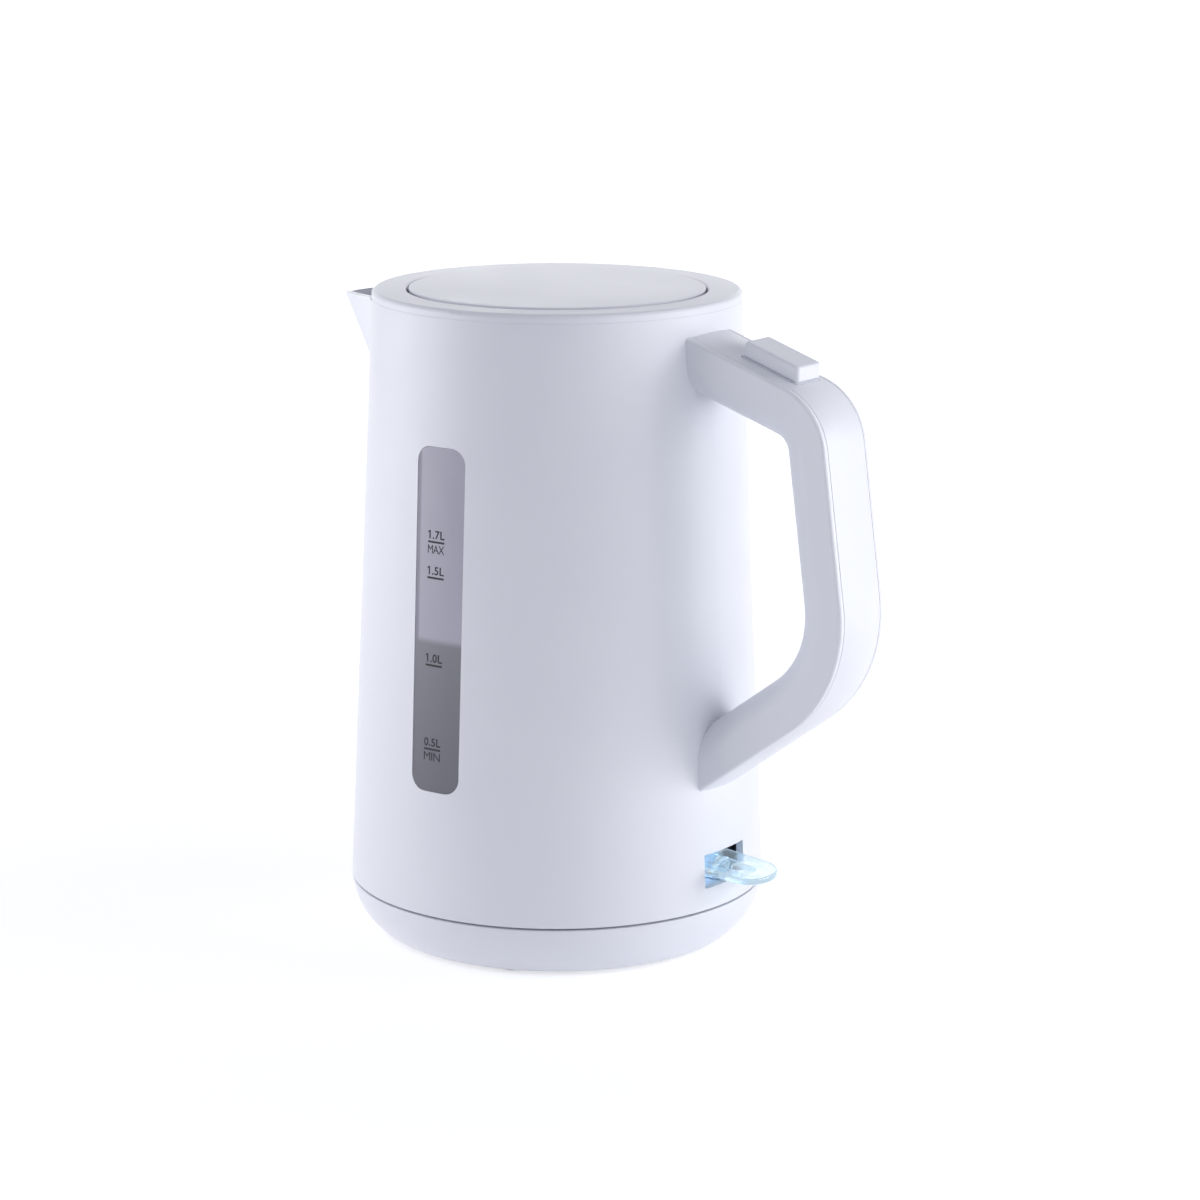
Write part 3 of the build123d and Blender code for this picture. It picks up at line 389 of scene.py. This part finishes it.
def add_flag(piece):
    """Joins a slanted flag to the figure 1 that starts a flat text, whose own figure is a bare bar."""
    bar_left = min(corner.co.x for corner in piece.data.vertices)
    bar_top = max(corner.co.y for corner in piece.data.vertices)
    flag_middle = bar_left - flag_reach / 2
    bpy.ops.object.select_all(action="DESELECT")
    bpy.ops.mesh.primitive_plane_add(size=1, location=(flag_middle, bar_top - flag_height / 2, 0))
    flag = bpy.context.object
    flag.scale = (flag_reach, flag_height, 1)
    bpy.ops.object.transform_apply(location=True, rotation=True, scale=True)
    bpy.ops.object.mode_set(mode="EDIT")
    bpy.ops.mesh.select_all(action="DESELECT")
    bpy.ops.object.mode_set(mode="OBJECT")
    for corner in flag.data.vertices:
        corner.select = corner.co.x < flag_middle
    bpy.ops.object.mode_set(mode="EDIT")
    bpy.ops.transform.translate(value=(0, -flag_drop, 0))
    bpy.ops.object.mode_set(mode="OBJECT")
    piece.select_set(True)
    bpy.context.view_layer.objects.active = piece
    bpy.ops.object.join()


def print_words(name, words, z_middle, spacing, stroke_gain=0.0):
    """Prints words on the pane, as wide as a level line, with their middle at that height, their letters that
    far apart and their strokes that much bolder than the built-in letters."""
    bpy.ops.object.select_all(action="DESELECT")
    bpy.ops.object.text_add()
    piece = bpy.context.object
    piece.name = name
    piece.data.body = words
    piece.data.size = letter_height
    piece.data.space_character = spacing
    piece.data.offset = stroke_gain
    bpy.ops.object.convert(target="MESH")
    if words.startswith("1"):
        add_flag(piece)
    bpy.ops.object.origin_set(type="ORIGIN_GEOMETRY", center="BOUNDS")
    piece.rotation_euler = (math.pi / 2, 0, 0)
    piece.location = (mark_side, mark_start, z_middle)
    piece.scale = (mark_width / piece.dimensions.x, letter_height / piece.dimensions.y, 1)
    bpy.ops.object.transform_apply(location=True, rotation=True, scale=True)
    lay_on_pane(piece)


def print_line(name, z_line):
    """Prints a level line on the pane."""
    bpy.ops.object.select_all(action="DESELECT")
    bpy.ops.mesh.primitive_plane_add(size=1, location=(mark_side, mark_start, z_line),
                                     rotation=(math.pi / 2, 0, 0))
    piece = bpy.context.object
    piece.name = name
    piece.scale = (mark_width, line_height, 1)
    bpy.ops.object.transform_apply(location=True, rotation=True, scale=True)
    bpy.ops.object.mode_set(mode="EDIT")
    bpy.ops.mesh.select_all(action="SELECT")
    bpy.ops.mesh.subdivide(number_cuts=line_cuts)
    bpy.ops.object.mode_set(mode="OBJECT")
    lay_on_pane(piece)


for litres, z_line, words in level_marks:
    tag = litres.replace(".", "_")
    print_words(f"figure_{tag}", litres, z_line + figure_rise, figure_spacing, figure_gain)
    print_line(f"line_{tag}", z_line)
    if words:
        print_words(f"word_{words}", words, z_line - word_drop, word_spacing)

# Switch
# A see-through paddle moulded in polycarbonate, rocking on a steel pin. A blue diode in the control shines
# into its root, and the paddle carries the light out to its edge.

# Clear polycarbonate: water-clear with a blue tinge, gleaming, with faint flow lines, and a painted faint
# blue glow all over in place of the diode's light.
paddle_with_painted_glow, tree, shader, place = start_material("clear_polycarbonate_blue", {
    "IOR": 1.585, "Transmission Weight": 1.0, "Emission Color": linear("#D4E8F6"), "Emission Strength": 0.13})
surface(tree, shader, place, tones=("#D2E3EC", "#C8DCE7"), grain=1.6 * MM, relief=0.004 * MM,
        patch=9 * MM, dull=(0.05, 0.12))
dress(paddle_with_painted_glow, "switch_lever")

# Diode lens of cast epoxy: pale blue and bright all over.
diode, tree, shader, place = start_material("diode_lens_blue", {
    "IOR": 1.5, "Emission Color": linear("#ABD0F5"), "Emission Strength": 10})
surface(tree, shader, place, tones=("#BFE6FA", "#A9DDF6"), grain=0.5 * MM, relief=0.002 * MM,
        patch=2 * MM, dull=(0.15, 0.25))
dress(diode, "indicator_lamp")

# Studio
# A sheet of pale paper that stays white round the kettle and keeps its shadow. Soft boxes stand at both
# sides, towards the handle, behind, and high in front. One hangs overhead, and a faint one lies below, as in
# a light table.
floor_size = 12.0
glow_start = 0.15
glow_end = 0.9
glow_near = 0.45
glow_far = 1.0
fill_strength = 0.40
camera_azimuth = 36.2
box_distance = 1.1
kettle_middle = Vector((0, 0, 0.12))


def looked_at(tree):
    """1 for a ray that looks at the background, straight or by way of metal or glass, and 0 for one that only
    carries light."""
    ray = add(tree, "ShaderNodeLightPath", {})
    camera_or_glossy = add(tree, "ShaderNodeMath", {"operation": "MAXIMUM", 0: ray.outputs["Is Camera Ray"],
                                                    1: ray.outputs["Is Glossy Ray"]})
    any_look = add(tree, "ShaderNodeMath", {"operation": "MAXIMUM", 0: camera_or_glossy.outputs[0],
                                            1: ray.outputs["Is Transmission Ray"]})
    return any_look.outputs[0]


def around(azimuth, distance, height):
    """A point at that azimuth round the kettle, seen from above; 0 is in front of the window."""
    turn = math.radians(azimuth)
    return Vector((math.sin(turn) * distance, -math.cos(turn) * distance, height))


def soft_box(name, point, width, height, power):
    """A soft box that stands at a point and faces the kettle."""
    lamp = bpy.data.lights.new(name, "AREA")
    lamp.shape = "RECTANGLE"
    lamp.size = width
    lamp.size_y = height
    lamp.energy = power
    box = bpy.data.objects.new(name, lamp)
    bpy.context.scene.collection.objects.link(box)
    box.location = point
    box.visible_camera = False
    box.rotation_euler = (kettle_middle - point).to_track_quat("-Z", "Y").to_euler()


bpy.ops.object.select_all(action="DESELECT")
bpy.ops.mesh.primitive_plane_add(size=floor_size, location=(0, 0, 0))
floor = bpy.context.object
floor.name = "floor"

# Matt paper: nearly white, with a faint tooth. It glows where it is looked at, and less close to the kettle,
# so that the shadow shows there.
paper, tree, shader, place = start_material("white_paper_sweep", {"Specular IOR Level": 0.1,
                                                                  "Emission Color": (1, 1, 1, 1)})
surface(tree, shader, place, tones=("#EFEFF1", "#EDEDEF"), grain=2 * MM, relief=0.01 * MM,
        patch=60 * MM, dull=(0.88, 0.92))
away = add(tree, "ShaderNodeVectorMath", {"operation": "LENGTH", 0: place})
glow = add(tree, "ShaderNodeMapRange", {"interpolation_type": "SMOOTHSTEP", "Value": away.outputs["Value"],
                                        "From Min": glow_start, "From Max": glow_end,
                                        "To Min": glow_near, "To Max": glow_far})
lift = add(tree, "ShaderNodeMath", {"operation": "MULTIPLY", 0: looked_at(tree), 1: glow.outputs["Result"]})
tree.links.new(lift.outputs[0], shader.inputs["Emission Strength"])
floor.data.materials.append(paper)

world = bpy.data.worlds.new("studio")
bpy.context.scene.world = world
world.use_nodes = True
tree = world.node_tree
fill = tree.nodes["Background"]
fill.inputs["Color"].default_value = linear("#E9ECF8")
fill.inputs["Strength"].default_value = fill_strength
white = add(tree, "ShaderNodeBackground", {"Color": (1, 1, 1, 1), "Strength": 1.0})
mixed = add(tree, "ShaderNodeMixShader", {0: looked_at(tree), 1: fill.outputs[0], 2: white.outputs[0]})
tree.links.new(mixed.outputs[0], tree.nodes["World Output"].inputs["Surface"])

soft_box("left_box", around(camera_azimuth - 92, box_distance, 0.22), width=1.05, height=0.6, power=6.6)
soft_box("right_box", around(camera_azimuth + 81, box_distance, 0.24), width=0.7, height=0.7, power=6.8)
soft_box("handle_box", around(camera_azimuth + 44, box_distance, 0.3), width=0.6, height=0.6, power=1.5)
soft_box("back_box", around(camera_azimuth + 180, 0.22, 0.28), width=0.3, height=0.06, power=0.1)
soft_box("front_box", around(camera_azimuth, box_distance, 1.1), width=1.0, height=0.6, power=0.5)
soft_box("top_box", Vector((0, 0, 1.6)), width=0.9, height=0.9, power=1.0)
soft_box("light_table", Vector((0, 0, 0.0004)), width=0.7, height=0.7, power=0.25)

# Camera
# A long lens above the level of the lid, round towards the handle from the window. It looks down by about
# 13 degrees, with the slight turn and roll of the picture.
camera_distance = 1.3773
camera_height = 0.4414
camera_pitch = 12.89
camera_yaw = 0.671
camera_roll = 0.15
lens = bpy.data.cameras.new("camera")
lens.sensor_width = 36.0
lens.lens = 112.3
camera = bpy.data.objects.new("camera", lens)
bpy.context.scene.collection.objects.link(camera)
camera.location = around(camera_azimuth, camera_distance, camera_height)
heading = Euler((math.radians(90 - camera_pitch), 0, math.radians(camera_azimuth - camera_yaw)))
camera.rotation_mode = "QUATERNION"
camera.rotation_quaternion = heading.to_quaternion() @ Quaternion((0, 0, 1), math.radians(camera_roll))
bpy.context.scene.camera = camera
bpy.context.scene.view_settings.view_transform = "Standard"
